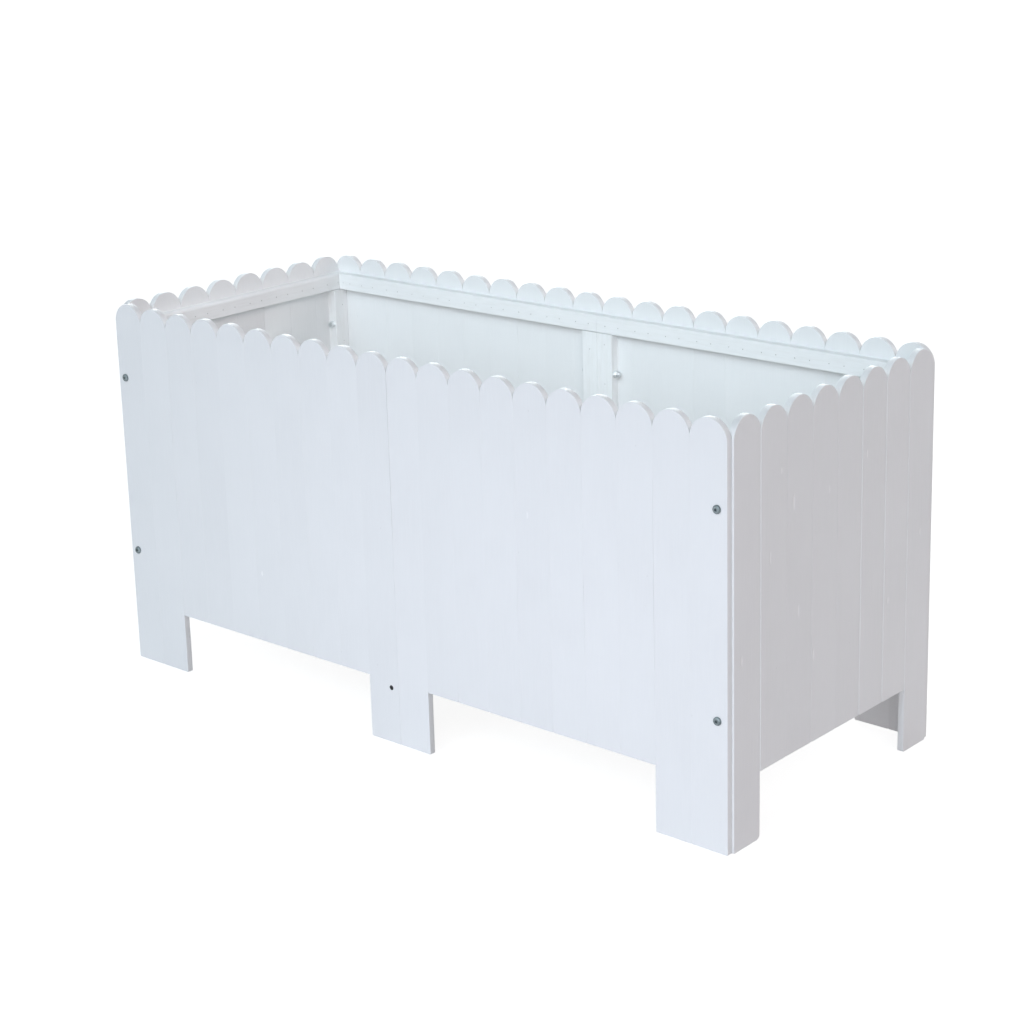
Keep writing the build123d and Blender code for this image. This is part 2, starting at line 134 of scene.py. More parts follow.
# Joints that the paint hasn't closed: wall, joint, from z, to z, width in mm.
OPEN_JOINTS = (
    ("front", 2, 236, 330, 0.55),
    ("front", 2, 395, 430, 0.40),
    ("front", 2, 98, 140, 0.25),
    ("front", 10, 330, 578, 0.70),
    ("front", 10, 98, 330, 0.24),
    ("front", 10, 0, 98, 0.30),
    ("front", 1, 0, 98, 0.12),
    ("front", 12, 96, 150, 0.15),
    ("front", 16, 240, 330, 0.30),
    ("front", 18, 250, 480, 0.30),
    ("back", 5, 300, 575, 0.30),
    ("back", 7, 250, 575, 0.25),
    ("back", 10, 0, 578, 0.3),
    ("back", 3, 200, 560, 0.10),
    ("left", 5, 120, 560, 0.22),
    ("left", 2, 120, 560, 0.12),
    ("right", 2, 330, 572, 0.60),
    ("right", 3, 98, 540, 0.55),
    ("right", 4, 200, 574, 0.55),
    ("right", 7, 360, 574, 0.60),
)


# Edges that stand proud of their neighbour's and catch the light: wall, joint,
# from z, to z, and the size against the usual arris, on the high-u board.
BRIGHT_EDGES = (
    ("right", 1, 0, 575, 2.0),
    ("right", 2, 98, 240, 1.2),
    ("right", 3, 98, 200, 1.5),
    ("right", 4, 98, 330, 1.1),
    ("right", 5, 98, 400, 1.9),
    ("right", 5, 400, 575, 1.2),
    ("right", 6, 290, 575, 1.9),
    ("right", 7, 0, 320, 1.9),
    ("left", 3, 150, 500, 1.3),
    ("back", 6, 120, 420, 1.2),
)


def arris(wall, joint, z, high):
    """The size of the eased edge along a joint, against EASE. Paint fills most
    of the groove."""
    z = np.asarray(z, float)
    if joint in (0, wall.count):
        return np.ones_like(z)
    k = 0.36 + 0.10 * noise(z / 60.0, joint, wall.seed + 21)
    if wall.axis == "y":
        k = k + 0.12
    if high:
        for name, j, lo, hi, size in BRIGHT_EDGES:
            if name == wall.name and j == joint:
                k = np.maximum(k, size * bump(z, lo, hi, 40.0))
    return k


def half_gap(wall, joint, z):
    """Half of the width of a joint between two boards, in mm."""
    z = np.asarray(z, float)
    if joint in (0, wall.count):
        return 0.15 + 0.03 * noise(z / 90.0, 0, wall.seed + joint)
    g = 0.014 + 0.010 * (1 + noise(z / 40.0, joint, wall.seed))
    for name, j, lo, hi, width in OPEN_JOINTS:
        if name == wall.name and j == joint:
            ragged = 0.75 + 0.25 * noise(z / 9.0, joint, wall.seed + 5)
            g = np.maximum(g, 0.5 * width * bump(z, lo, hi, 25.0) * ragged)
    return g


def joint_line(wall, joint, z):
    """How far a joint strays from its nominal line, in mm."""
    z = np.asarray(z, float)
    if joint in (0, wall.count):
        return np.zeros_like(z)
    lean = 0.25 * (hash01(joint, 7, wall.seed) - 0.5)
    return 0.16 * noise(z / 170.0, joint * 3.1, wall.seed + 9) + lean * (z / 600.0)


# --------------------------------------------------------- building a board
ARC = 4


def board_mesh(wall, number, foot, corner=2.0, low_corners=None, dents=()):
    """One board as vertices and faces. Outline rings run round it; the two
    faces are filled with rows and columns."""
    seed = wall.seed * 100 + number
    centre = wall.centre(number)
    W = PITCH
    drop = CROWN_DROP[wall.name][number - 1]
    crown = 600.0 - drop
    R = W / 2 - 0.05
    q1 = EASE + 0.7
    cl, cr = low_corners or (corner, corner)

    cols = np.array([0.0, 0.035, 0.14, 0.26, 0.38, 0.5, 0.62, 0.74, 0.86, 0.965, 1.0])
    rows = list(np.arange(foot + 14.0, 560.0, 12.0))
    for u0, z0, half_u, half_z, depth in dents:
        rows += list(z0 + half_z * np.linspace(-1.3, 1.3, 11))
        t = (u0 - centre) / W + 0.5
        cols = np.concatenate([cols, t + (half_u / W) * np.linspace(-1.3, 1.3, 7)])
    cols = np.unique(np.round(cols, 5))
    cols = cols[(cols >= 0) & (cols <= 1)]
    keep = [cols[0]]
    for c in cols[1:]:
        if c - keep[-1] > 0.012 or c == 1.0:
            keep.append(c)
    if keep[-1] - keep[-2] < 0.012:
        keep.pop(-2)
    cols = np.array(keep)
    rows = np.unique(np.round(rows, 3))
    keep = [rows[0]]
    for r in rows[1:]:
        if r - keep[-1] > 0.9:
            keep.append(r)
    rows = np.array([r for r in keep if foot + max(cl, cr) + 2 < r < crown - R - 1])
    nc = len(cols)
    top = np.radians(np.concatenate([np.arange(0, 84, 6.0), [84.0, 87.5]]))
    low = np.radians(np.array([-60.0, -30.0, 0.0]))

    def sides(q):
        """(u, z) of the right and of the left boundary, from the lowest corner row to just under the crown."""
        right = [
            (W / 2 - cr + (cr - q) * math.cos(a), foot + cr + (cr - q) * math.sin(a))
            for a in low
        ]
        left = [
            (-W / 2 + cl - (cl - q) * math.cos(a), foot + cl + (cl - q) * math.sin(a))
            for a in low
        ]
        right += [(W / 2 - q, z) for z in rows]
        left += [(-W / 2 + q, z) for z in rows]
        edge = W / 2 - R
        right += [
            ((R - q) * math.cos(a) + edge * math.cos(a) ** 6,
             crown - R + (R - q) * math.sin(a))
            for a in top
        ]
        left += [
            (-(R - q) * math.cos(a) - edge * math.cos(a) ** 6,
             crown - R + (R - q) * math.sin(a))
            for a in top
        ]
        return np.array(right), np.array(left)

    def ring(q):
        """The closed loop: along the bottom, up the right, crown, down the left."""
        right, left = sides(q)
        b0, b1 = -W / 2 + cl, W / 2 - cr
        bottom = np.stack([b0 + (b1 - b0) * cols, np.full(nc, foot + q)], 1)
        return np.concatenate([bottom, right, [[0.0, crown - q]], left[::-1]])

    arc = [math.radians(90.0 * k / ARC) for k in range(1, ARC + 1)]
    profile = [(q1, 0.0), (EASE, 0.0)]
    profile += [(EASE * (1 - math.sin(a)), EASE * (1 - math.cos(a))) for a in arc]
    profile += [(0.0, THICK / 2)]
    profile += [(q, THICK - d) for q, d in profile[:-1][::-1]]

    loops = [np.column_stack([ring(q), np.full(len(ring(q)), d)]) for q, d in profile]
    n = len(loops[0])
    verts = np.concatenate(loops)
    faces = []
    for k in range(len(loops) - 1):
        a, b = k * n, (k + 1) * n
        for i in range(n):
            j = (i + 1) % n
            # the outer face is towards -d, and u x z gives the outward side
            faces.append((a + i, b + i, b + j, a + j))

    n_side = len(low) + len(rows) + len(top)
    extra = []

    def fill(loop, front):
        base = loop * n
        d = profile[loop][1]
        right = [base + nc + i for i in range(n_side)]
        left = [base + n - 1 - i for i in range(n_side)]
        apex = base + nc + n_side
        row = [base + i for i in range(nc)]
        out = []
        ru, lu = sides(profile[loop][0])
        for i in range(n_side):
            new = [left[i]]
            for c in cols[1:-1]:
                u = lu[i][0] + (ru[i][0] - lu[i][0]) * c
                z = lu[i][1] + (ru[i][1] - lu[i][1]) * c
                new.append(len(verts) + len(extra))
                extra.append((u, z, d))
            new.append(right[i])
            for c in range(nc - 1):
                out.append((row[c], row[c + 1], new[c + 1], new[c]))
            row = new
        for c in range(nc - 1):
            out.append((row[c], row[c + 1], apex))
        if not front:
            out = [tuple(reversed(f)) for f in out]
        faces.extend(out)

    fill(0, True)
    fill(len(profile) - 1, False)
    pts = np.concatenate([verts, np.array(extra)])
    u, z, d = pts[:, 0], pts[:, 1], pts[:, 2]

    # along a joint the eased edge is smaller or larger than elsewhere
    side = W / 2 - np.abs(u)
    near = (side <= EASE + 1e-6) & (z < crown - R + 1e-6) & (z > foot + max(cl, cr))
    fade = np.clip((crown - R - z) / 14.0, 0, 1) * np.clip((z - foot - 8) / 10.0, 0, 1)
    k = np.where(u < 0, arris(wall, number - 1, z, True), arris(wall, number, z, False))
    k = np.where(near, 1 + (k - 1) * fade, 1.0)
    u = np.where(near, np.sign(u) * (W / 2 - side * k), u)
    d = np.where(
        d <= EASE + 1e-6, d * k,
        np.where(d >= THICK - EASE - 1e-6, THICK - (THICK - d) * k, d),
    )

    t = u / W + 0.5
    lo = half_gap(wall, number - 1, z) + joint_line(wall, number - 1, z)
    hi = -half_gap(wall, number, z) + joint_line(wall, number, z)
    u = centre + u + (1 - t) * lo + t * hi
    # nothing is quite flat: a slow bow and twist, and planer ripples
    r = [float(hash01(number, k, wall.seed)) for k in range(8)]
    seat, e0, e1 = SEAT.get(
        wall.name, ((0.12 + 0.2 * r[0], 0.06 * (r[1] - 0.5), 0.06 * (r[2] - 0.5)),) * 99
    )[number - 1]
    up = z / 600.0
    lift = seat + (1 - t) * e0 + t * e1
    lift = lift + 0.12 * (r[3] - 0.5) * np.sin(math.pi * up) + 0.10 * (r[4] - 0.5) * up
    lift = lift + 0.035 * noise(u / 21.0, z / 110.0, seed) * (1 - d / THICK)
    for u0, z0, half_u, half_z, depth in dents:
        inside = np.clip(
            1 - ((u - u0) / half_u) ** 2 - ((z - z0) / half_z) ** 2, 0, None
        )
        lift = lift + depth * inside ** 0.8 * (d < THICK / 2)
    d = d + np.clip(lift, 0.0, None)
    # the outline of the crown, as a saw leaves it
    over = np.clip((z - (crown - R)) / R, 0, 1)
    z = z + 0.12 * over * noise(u / 7.0, number, seed + 3)
    z = np.minimum(z, 599.95)
    if foot == 0.0:
        z = np.maximum(z, 0.0)
    return wall.place(u, z, d), faces


def to_mesh(name, verts, faces, flip):
    me = bpy.data.meshes.new(name)
    if flip:
        faces = [tuple(reversed(f)) for f in faces]
    me.from_pydata([tuple(v) for v in verts], [], faces)
    me.validate(verbose=False)
    me.update()
    return me


def prism(bm, centre, along, length, half):
    """A square prism whose near end is at centre and that runs along a unit vector."""
    m = Vector(along).to_track_quat("Z", "Y").to_matrix().to_4x4()
    made = bmesh.ops.create_cube(bm, size=1.0)["verts"]
    bmesh.ops.scale(bm, vec=(2 * half, 2 * half, length), verts=made)
    bmesh.ops.translate(bm, vec=(0, 0, length / 2), verts=made)
    bmesh.ops.transform(bm, matrix=Matrix.Translation(centre) @ m, verts=made)


def cone(bm, centre, along, length, r1, r2, segments=32):
    m = Vector(along).to_track_quat("Z", "Y").to_matrix().to_4x4()
    made = bmesh.ops.create_cone(
        bm, cap_ends=True, segments=segments, radius1=r1, radius2=r2, depth=length
    )["verts"]
    bmesh.ops.translate(bm, vec=(0, 0, length / 2), verts=made)
    bmesh.ops.transform(bm, matrix=Matrix.Translation(centre) @ m, verts=made)


def brad_places(wall, number):
    """(u, z) of the brads that reach into a board."""
    c = wall.centre(number)
    if wall.axis == "x":
        us = [c - 13.0, c + 13.0]
        if number == 1:
            us = [c + 2.0, c + 18.0]
        if number == N_LONG:
            us = [c - 18.0, c - 2.0]
        out = [(u, z) for u in us for z in (552.0, 116.0)]
        if number == 10:
            out += [(-15.0, z) for z in (511.0, 428.0, 345.0, 262.0, 179.0)]
        if number == 11:
            out += [(15.0, z) for z in (522.0, 458.0, 394.0, 330.0, 266.0, 202.0, 146.0)]
        return out
    out = [(u, z) for u in (c - 13.0, c + 13.0) for z in (552.0, 116.0)]
    if number in (1, N_SHORT):
        s = -228.0 if number == 1 else 228.0
        out += [(s, z) for z in (512.0, 448.0, 384.0, 320.0, 256.0, 152.0)]
    return out


def cut(me, wall, number):
    """Brad holes from the inside, bolt holes right through, a countersink."""
    bm = bmesh.new()
    out = wall.place(np.array(0.0), np.array(0.0), np.array(-1.0))
    out = Vector(out) - Vector(wall.place(np.array(0.0), np.array(0.0), np.array(0.0)))
    out.normalize()
    for u, z in brad_places(wall, number):
        at = Vector(wall.place(np.array(u), np.array(z), np.array(THICK + 4.0)))
        prism(bm, at, out, 0.0110, BRAD_HALF * 0.001)
    if wall.axis == "x" and number in (1, N_LONG):
        u = -POST_X if number == 1 else POST_X
        for z in (189.0, 479.0):
            at = Vector(wall.place(np.array(u), np.array(z), np.array(THICK + 4.0)))
            cone(bm, at, out, 0.020, 0.0035, 0.0035)
    if wall.axis == "x" and number == 10:
        at = Vector(wall.place(np.array(-15.0), np.array(88.0), np.array(THICK + 4.0)))
        cone(bm, at, out, 0.020, 0.0021, 0.0021)
        at = Vector(wall.place(np.array(-15.0), np.array(88.0), np.array(1.9)))
        cone(bm, at, out, 0.0029, 0.0020, 0.0049)
    bmesh.ops.recalc_face_normals(bm, faces=bm.faces)
    tool_mesh = bpy.data.meshes.new("cutter")
    bm.to_mesh(tool_mesh)
    bm.free()
    tool = bpy.data.objects.new("cutter", tool_mesh)
    ob = bpy.data.objects.new("cut_me", me)
    for o in (tool, ob):
        bpy.context.scene.collection.objects.link(o)
    mod = ob.modifiers.new("cut", "BOOLEAN")
    mod.operation, mod.solver, mod.object = "DIFFERENCE", "EXACT", tool
    bpy.context.view_layer.update()
    got = bpy.data.meshes.new_from_object(
        ob.evaluated_get(bpy.context.evaluated_depsgraph_get())
    )
    for o in (tool, ob):
        bpy.data.objects.remove(o)
    bpy.data.meshes.remove(tool_mesh)
    bpy.data.meshes.remove(me)
    return got


# Shallow dents in the right-hand wall: u, z, half width, half height, depth.
DENTS = {
    ("right", 3): ((-104.0, 455.0, 2.4, 12.0, 1.0), (-92.0, 300.0, 2.0, 10.0, 0.9)),
    ("right", 4): ((-55.0, 225.0, 2.2, 9.0, 0.9), (-20.0, 452.0, 1.8, 7.0, 0.6)),
    ("right", 1): ((-222.0, 268.0, 1.8, 8.0, 0.6),),
    ("right", 2): ((-158.0, 392.0, 1.8, 10.0, 0.8), (-134.0, 505.0, 1.6, 6.0, 0.6)),
    ("right", 6): ((72.0, 480.0, 1.8, 7.0, 0.6),),
    ("right", 7): ((118.0, 360.0, 2.0, 8.0, 0.7), (131.0, 250.0, 1.6, 6.0, 0.5)),
    ("right", 8): ((214.0, 330.0, 1.6, 6.0, 0.5),),
    ("front", 6): ((-287.0, 210.0, 1.8, 5.0, 0.25),),
    ("front", 15): ((262.0, 410.0, 1.6, 6.0, 0.25),),
}

SLOT = {"board": "board_wood"}


def tag(me, name, value):
    a = me.attributes.get(name) or me.attributes.new(name, "FLOAT", "POINT")
    a.data.foreach_set("value", np.full(len(me.vertices), value, np.float32))


def mark_scuff_highlights(me, wall, dents):
    """Where a board is dented the paint is made lighter: partly a scuff, partly a painted highlight where the
    dent catches the light.
    """
    co = np.empty(len(me.vertices) * 3)
    me.vertices.foreach_get("co", co)
    co = co.reshape(-1, 3) * 1000.0
    u, z = co[:, 0 if wall.axis == "x" else 1], co[:, 2]
    value = np.zeros(len(u))
    for u0, z0, half_u, half_z, _depth in dents:
        inside = 1 - ((u - u0) / half_u) ** 2 - ((z - z0) / half_z) ** 2
        value = np.maximum(value, np.clip(inside * 1.6, 0, 1))
    a = me.attributes.new("scuff_highlight", "FLOAT", "POINT")
    a.data.foreach_set("value", value.astype(np.float32))


def group(name, wall, numbers, foot, replaced, **options):
    """One shown piece from the boards that one CAD node holds."""
    bm = bmesh.new()
    for number in numbers:
        verts, faces = board_mesh(
            wall, number, foot, dents=DENTS.get((wall.name, number), ()), **options
        )
        me = to_mesh("one_board", verts, faces, wall.flip)
        me = cut(me, wall, number)
        tag(me, "tone", float(hash01(number, 31, wall.seed)))
        tag(me, "shift", float(hash01(number, 77, wall.seed)))
        mark_scuff_highlights(me, wall, DENTS.get((wall.name, number), ()))
        bm.from_mesh(me)
        bpy.data.meshes.remove(me)
    bm.normal_update()
    for f in bm.faces:
        f.smooth = True
    for e in bm.edges:
        if len(e.link_faces) == 2 and e.calc_face_angle(0.0) > math.radians(38):
            e.smooth = False
    me = bpy.data.meshes.new(name)
    bm.to_mesh(me)
    bm.free()
    ob = bpy.data.objects.new(name, me)
    bpy.context.scene.collection.objects.link(ob)
    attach(ob, "root")
    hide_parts(replaced)
    return ob


boards = []
for side in ("front", "back"):
    wall = WALLS[side]
    for number in LEGS_LONG:
        boards.append(
            group(f"painted_{side}_leg_board_{number:02d}", wall, (number,), 0.0,
                  f"{side}_leg_board_{number:02d}")
        )
    boards.append(
        group(f"painted_{side}_left_boards", wall, range(3, 10), LEG_H,
              f"{side}_left_boards")
    )
    boards.append(
        group(f"painted_{side}_right_boards", wall, range(12, 19), LEG_H,
              f"{side}_right_boards")
    )
for side in ("left", "right"):
    wall = WALLS[side]
    for end, number, corners in (("front", 1, (2.0, 7.0)), ("back", 8, (3.0, 2.0))):
        boards.append(
            group(f"painted_{side}_{end}_leg_board", wall, (number,), 0.0,
                  f"{side}_{end}_leg_board", low_corners=corners)
        )
    boards.append(
        group(f"painted_{side}_side_boards", wall, range(2, 8), LEG_H,
              f"{side}_side_boards")
    )


# ---------------------------------------------------------------- materials
class Tree:
    """Short names for making shader nodes."""

    def __init__(self, name):
        self.mat = bpy.data.materials.new(name)
        self.mat.use_nodes = True
        self.nt = self.mat.node_tree
        self.nt.nodes.clear()
        self.out = self.nt.nodes.new("ShaderNodeOutputMaterial")
        self.bsdf = self.nt.nodes.new("ShaderNodeBsdfPrincipled")
        self.nt.links.new(self.bsdf.outputs[0], self.out.inputs[0])

    def node(self, kind, **settings):
        n = self.nt.nodes.new(kind)
        for k, v in settings.items():
            setattr(n, k, v)
        return n

    def link(self, a, b):
        self.nt.links.new(a, b)

    def put(self, socket, value):
        if isinstance(value, bpy.types.NodeSocket):
            self.link(value, socket)
        else:
            socket.default_value = value

    def math(self, op, a, b=0.0, clamp=False):
        n = self.node("ShaderNodeMath", operation=op, use_clamp=clamp)
        self.put(n.inputs[0], a)
        self.put(n.inputs[1], b)
        return n.outputs[0]

    def vmath(self, op, a, b):
        n = self.node("ShaderNodeVectorMath", operation=op)
        self.put(n.inputs[0], a)
        self.put(n.inputs[1], b)
        return n.outputs[0]

    def noise(self, vector, scale, detail=3.0, rough=0.55, distortion=0.0):
        n = self.node("ShaderNodeTexNoise")
        self.put(n.inputs["Vector"], vector)
        n.inputs["Scale"].default_value = scale
        n.inputs["Detail"].default_value = detail
        n.inputs["Roughness"].default_value = rough
        n.inputs["Distortion"].default_value = distortion
        return n.outputs[0]

    def ramp(self, value, lo, hi, out_lo=0.0, out_hi=1.0, smooth=False):
        n = self.node(
            "ShaderNodeMapRange",
            interpolation_type="SMOOTHSTEP" if smooth else "LINEAR",
        )
        self.put(n.inputs[0], value)
        for i, x in enumerate((lo, hi, out_lo, out_hi), 1):
            n.inputs[i].default_value = x
        return n.outputs[0]

    def mix(self, fac, a, b):
        n = self.node("ShaderNodeMix", data_type="RGBA")
        self.put(n.inputs[0], fac)
        self.put(n.inputs[6], a)
        self.put(n.inputs[7], b)
        return n.outputs[2]

    def attribute(self, name):
        n = self.node("ShaderNodeAttribute", attribute_name=name)
        return n.outputs["Fac"]

    def bump(self, height, distance, strength=1.0, normal=None):
        n = self.node("ShaderNodeBump")
        n.inputs["Strength"].default_value = strength
        n.inputs["Distance"].default_value = distance
        self.put(n.inputs["Height"], height)
        if normal is not None:
            self.link(normal, n.inputs["Normal"])
        return n.outputs[0]


def painted_wood(name, grain, light, dark, per_board, rough=0.46, relief=1.0):
    """White paint over softwood. grain is the axis the wood runs along."""
    t = Tree(name)
    co = t.node("ShaderNodeTexCoord").outputs["Object"]
    if per_board:
        n = t.node("ShaderNodeCombineXYZ")
        s = t.attribute("shift")
        t.put(n.inputs[0], t.math("MULTIPLY", s, 3.7))
        t.put(n.inputs[1], t.math("MULTIPLY", s, 9.1))
        t.put(n.inputs[2], t.math("MULTIPLY", s, 5.3))
        own = t.vmath("ADD", co, n.outputs[0])
    else:
        own = co
    stretch = [1.0, 1.0, 1.0]
    stretch["xyz".index(grain)] = 0.045
    along = t.vmath("MULTIPLY", own, tuple(stretch))
    stretch["xyz".index(grain)] = 0.12
    brush = t.vmath("MULTIPLY", own, tuple(stretch))

    fibre = t.noise(along, 620.0, 4.0, 0.62)
    rings = t.noise(along, 95.0, 3.0, 0.5, 0.8)
    bands = t.math("SINE", t.math("MULTIPLY", rings, 46.0))
    strokes = t.noise(brush, 260.0, 3.0, 0.6)
    slow = t.noise(own, 7.0, 2.0, 0.5)
    pores = t.noise(co, 1500.0, 2.0, 0.5)

    # colour: cool white, a little greyer where the coat is thin
    thin = t.ramp(t.math("ADD", t.math("MULTIPLY", fibre, 0.6),
                         t.math("MULTIPLY", bands, 0.06)), 0.22, 0.55)
    base = t.mix(t.math("MULTIPLY", thin, 0.55), dark, light)
    cloud = t.ramp(slow, 0.3, 0.7, 0.0, 1.0, True)
    base = t.mix(t.math("MULTIPLY", cloud, 0.35), base,
                 tuple(c * 1.012 for c in light[:3]) + (1.0,))
    if per_board:
        tone = t.ramp(t.attribute("tone"), 0.0, 1.0, 0.986, 1.0)
        both = t.node("ShaderNodeVectorMath", operation="SCALE")
        t.link(base, both.inputs[0])
        t.link(tone, both.inputs["Scale"])
        base = both.outputs[0]
    # a few faint specks, and lighter patches at the dents that are partly scuffs and partly a painted
    # highlight
    v = t.node("ShaderNodeTexVoronoi", feature="F1")
    t.link(t.vmath("MULTIPLY", own, (1.0, 1.0, 0.5)), v.inputs["Vector"])
    v.inputs["Scale"].default_value = 34.0
    v.inputs["Randomness"].default_value = 1.0
    speck = t.ramp(v.outputs["Distance"], 0.018, 0.035, 1.0, 0.0, True)
    base = t.mix(t.math("MULTIPLY", speck, 0.16), base, (0.50, 0.49, 0.47, 1.0))
    if per_board:
        # painted highlight: the paint at each dent is lighter, standing in for the dent's slope catching the
        # light, over a real scuff
        scuff_highlight = t.math("MULTIPLY", t.attribute("scuff_highlight"), t.ramp(fibre, 0.35, 0.6, 0.3, 1.0))
        base = t.mix(scuff_highlight, base, (0.97, 0.97, 0.97, 1.0))
    # thin, slightly rubbed paint on sharp edges
    geo = t.node("ShaderNodeNewGeometry")
    edge = t.ramp(geo.outputs["Pointiness"], 0.52, 0.60, 0.0, 1.0, True)
    rub = t.math("MULTIPLY", edge, t.ramp(strokes, 0.45, 0.75, 0.0, 1.0))
    base = t.mix(t.math("MULTIPLY", rub, 0.18), base, (0.64, 0.62, 0.58, 1.0))
    t.link(base, t.bsdf.inputs["Base Color"])

    t.link(t.math("ADD", t.ramp(strokes, 0.25, 0.75, rough - 0.05, rough + 0.07),
                  t.math("MULTIPLY", pores, 0.03)), t.bsdf.inputs["Roughness"])
    t.bsdf.inputs["Specular IOR Level"].default_value = 0.42

    n1 = t.bump(bands, 0.00005 * relief, 0.35)
    n2 = t.bump(fibre, 0.00022 * relief, 0.45, n1)
    n3 = t.bump(strokes, 0.00018 * relief, 0.4, n2)
    n4 = t.bump(pores, 0.00004 * relief, 0.5, n3)
    n5 = t.bump(speck, 0.00025 * relief, -0.6, n4)
    t.link(n5, t.bsdf.inputs["Normal"])
    return t.mat


def metal(name, light, dark, rough, metallic, scale=900.0, inner=None):
    """inner is a brighter plating for what stands inside the long walls."""
    t = Tree(name)
    co = t.node("ShaderNodeTexCoord").outputs["Object"]
    a = t.noise(co, scale, 4.0, 0.6)
    b = t.noise(co, scale * 0.18, 2.0, 0.5)
    base = t.mix(t.ramp(t.math("MULTIPLY", a, b), 0.15, 0.38), dark, light)
    if inner:
        xyz = t.node("ShaderNodeSeparateXYZ")
        t.link(co, xyz.inputs[0])
        inside = t.ramp(t.math("ABSOLUTE", xyz.outputs[1]), 0.232, 0.243, 1.0, 0.0)
        base = t.mix(inside, base, t.mix(a, inner, tuple(0.7 * c for c in inner[:3]) + (1.0,)))
    t.link(base, t.bsdf.inputs["Base Color"])
    t.bsdf.inputs["Metallic"].default_value = metallic
    t.link(t.ramp(a, 0.3, 0.7, rough - 0.08, rough + 0.1), t.bsdf.inputs["Roughness"])
    t.link(t.bump(a, 0.00008, 0.4), t.bsdf.inputs["Normal"])
    return t.mat


WHITE, SHADE = (0.875, 0.880, 0.885, 1.0), (0.835, 0.840, 0.845, 1.0)
paint_boards = painted_wood("paint_boards", "z", WHITE, SHADE, True)
RAIL_LIGHT, RAIL_DARK = (0.910, 0.918, 0.922, 1.0), (0.880, 0.888, 0.892, 1.0)
paint_rail_x = painted_wood("paint_rail_x", "x", RAIL_LIGHT, RAIL_DARK, False)
paint_rail_y = painted_wood("paint_rail_y", "y", RAIL_LIGHT, RAIL_DARK, False)
paint_upright = painted_wood("paint_upright", "z", RAIL_LIGHT, RAIL_DARK, False)
FLOOR_LIGHT, FLOOR_DARK = (0.79, 0.79, 0.77, 1.0), (0.66, 0.63, 0.57, 1.0)
paint_floor = painted_wood("paint_floor", "y", FLOOR_LIGHT, FLOOR_DARK, False, 0.6, 1.5)
zinc = metal("zinc_steel", (0.27, 0.32, 0.33, 1.0), (0.11, 0.14, 0.15, 1.0), 0.40, 0.7,
             inner=(0.66, 0.69, 0.70, 1.0))
silver = metal("zinc_nut", (0.86, 0.88, 0.89, 1.0), (0.66, 0.69, 0.70, 1.0), 0.42, 0.75)
black = metal("black_screw", (0.06, 0.06, 0.065, 1.0), (0.02, 0.02, 0.022, 1.0), 0.45, 0.7)
wire = metal("brad_wire", (0.55, 0.55, 0.54, 1.0), (0.36, 0.36, 0.35, 1.0), 0.5, 0.6)


def finish_of(node):
    if node.endswith("brads"):
        return wire
    if node == "corner_bolts":
        return zinc
    if node in ("joining_bolts", "bolt_nuts", "bolt_washers"):
        return silver
    if node == "bearer_screws":
        return black
    if node.startswith("floor_slat") or node == "cross_bearer":
        return paint_floor
    if node in ("left_top_rail", "right_top_rail", "left_bottom_rail", "right_bottom_rail"):
        return paint_rail_y
    if node.endswith("rail"):
        return paint_rail_x
    if node.endswith("batten") or node.endswith("post"):
        return paint_upright
    return paint_boards


def assign(ob, mat):
    ob.data.materials.clear()
    ob.data.materials.append(mat)


for name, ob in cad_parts.items():
    assign(ob, finish_of(name))
for ob in boards:
    assign(ob, paint_boards)

# -------------------------------------------------------- floor, light, view
def plane(name, z, size=60.0):
    me = bpy.data.meshes.new(name)
    me.from_pydata(
        [(-size, -size, z), (size, -size, z), (size, size, z), (-size, size, z)],
        [], [(0, 1, 2, 3)],
    )
    ob = bpy.data.objects.new(name, me)
    bpy.context.scene.collection.objects.link(ob)
    return ob


# The pale floor that is seen, and just under it the duller ground whose
# bounce lights the bed from below.
floor = plane("studio_floor", -0.0002)
t = Tree("studio_floor")
co = t.node("ShaderNodeTexCoord").outputs["Object"]
t.link(t.mix(t.noise(co, 3.0, 2.0), (0.34, 0.34, 0.34, 1.0), (0.36, 0.36, 0.36, 1.0)),
       t.bsdf.inputs["Base Color"])
t.bsdf.inputs["Roughness"].default_value = 0.9
t.bsdf.inputs["Specular IOR Level"].default_value = 0.0
t.bsdf.inputs["Emission Color"].default_value = (1.0, 1.0, 1.0, 1.0)
t.bsdf.inputs["Emission Strength"].default_value = 0.86
assign(floor, t.mat)
floor.visible_diffuse = False
floor.visible_shadow = False
ground = plane("studio_ground", -0.001)
t = Tree("studio_ground")
co = t.node("ShaderNodeTexCoord").outputs["Object"]
t.link(t.mix(t.noise(co, 3.0, 2.0), (0.49, 0.49, 0.49, 1.0), (0.51, 0.51, 0.51, 1.0)),
       t.bsdf.inputs["Base Color"])
t.bsdf.inputs["Roughness"].default_value = 0.9
t.bsdf.inputs["Emission Color"].default_value = (0.00, 0.00, 0.00, 1.0)
t.bsdf.inputs["Emission Strength"].default_value = 0.000
assign(ground, t.mat)
ground.visible_camera = False
ground.visible_glossy = False
ground.visible_shadow = False

world = bpy.data.worlds.new("studio")
bpy.context.scene.world = world
world.use_nodes = True
bg = world.node_tree.nodes["Background"]
bg.inputs[0].default_value = (1.0, 1.0, 1.0, 1.0)
bg.inputs[1].default_value = 1.0
world.cycles_visibility.diffuse = False


def put_light(name, data, at, towards, colour):
    """colour is the strength in red, green and blue."""
    top = max(colour)
    data.energy *= top
    data.color = [c / top for c in colour]
    ob = bpy.data.objects.new(name, data)
    ob.location = at
    ob.rotation_mode = "QUATERNION"
    ob.rotation_quaternion = (Vector(towards) - Vector(at)).to_track_quat("-Z", "Y")
    ob.visible_camera = False
    bpy.context.scene.collection.objects.link(ob)


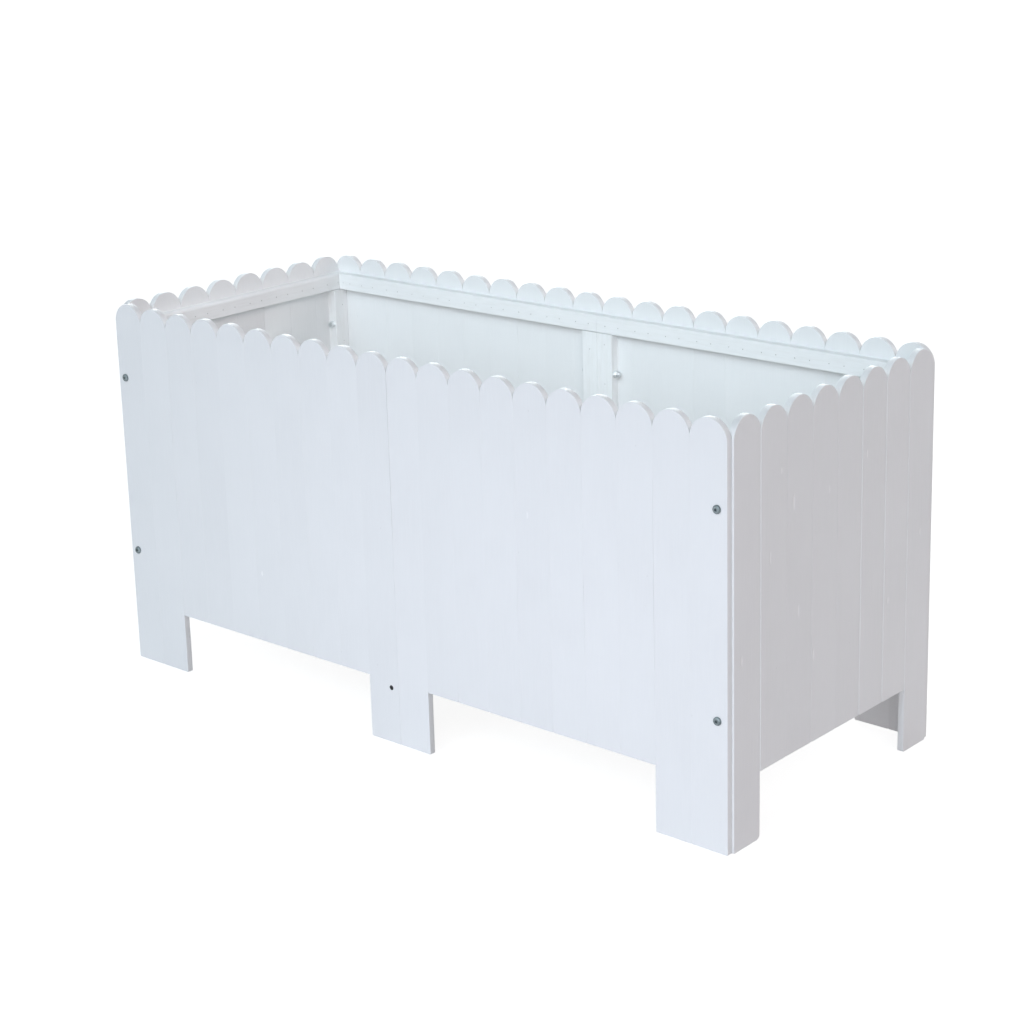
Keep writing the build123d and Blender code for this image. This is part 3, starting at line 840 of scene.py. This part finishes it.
def soft_sun(name, azimuth, elevation, angle, colour):
    """A broad soft light from far off. Azimuth 0 is in front, 90 to the right."""
    a, e = math.radians(azimuth), math.radians(elevation)
    at = Vector((math.sin(a) * math.cos(e), -math.cos(a) * math.cos(e), math.sin(e)))
    data = bpy.data.lights.new(name, "SUN")
    data.angle = math.radians(angle)
    data.energy = math.pi
    put_light(name, data, at * 5, (0, 0, 0), colour)


def panel(name, at, towards, width, height, colour):
    data = bpy.data.lights.new(name, "AREA")
    data.shape = "RECTANGLE"
    data.size, data.size_y = width, height
    data.energy = 1.0
    put_light(name, data, at, towards, colour)


soft_sun("front_high", 0, 48, 36, (0.136, 0.168, 0.180))
soft_sun("front", 0, 28, 36, (0.160, 0.205, 0.235))
soft_sun("front_right", 45, 28, 36, (0.317, 0.310, 0.322))
soft_sun("back", 180, 14, 26, (0.015, 0.027, 0.033))
soft_sun("back_right", 135, 22, 40, (0.256, 0.224, 0.226))
soft_sun("back_left", 225, 22, 40, (0.565, 0.601, 0.625))
panel("over_the_bed", (-0.04, -0.2, 0.80), (-0.04, 0.24, 0.745), 1.16, 0.24,
      (0.68, 0.74, 0.76))
panel("under_rail", (-0.02, 0.06, 0.485), (-0.02, 0.24, 0.505), 1.12, 0.04,
      (0.082, 0.090, 0.090))
panel("low_front", (0.45, -1.5, 0.16), (0.35, -0.25, 0.06), 1.4, 0.25,
      (4.45, 4.15, 4.72))

cam_data = bpy.data.cameras.new("camera")
cam = bpy.data.objects.new("camera", cam_data)
bpy.context.scene.collection.objects.link(cam)
bpy.context.scene.camera = cam
right = Vector((0.759316, 0.650311, -0.023122))
down = Vector((0.155437, -0.215766, -0.963994))
ahead = Vector((-0.631885, 0.728382, -0.264917))
turn = Matrix((right, -down, -ahead)).transposed()
cam.rotation_mode = "QUATERNION"
cam.rotation_quaternion = turn.to_quaternion()
cam.location = (2.21737, -2.47238, 1.35776)
cam_data.sensor_width = 36.0
cam_data.lens = 79.685
cam_data.shift_x = -0.02734
cam_data.shift_y = -0.08984
cam_data.clip_start = 0.05
cam_data.clip_end = 500.0

view = bpy.context.scene.view_settings
view.view_transform = "Standard"
view.look = "None"
view.exposure = 0.0
view.gamma = 1.0
cycles = bpy.context.scene.cycles
cycles.use_denoising = True
cycles.max_bounces = 10
cycles.diffuse_bounces = 6
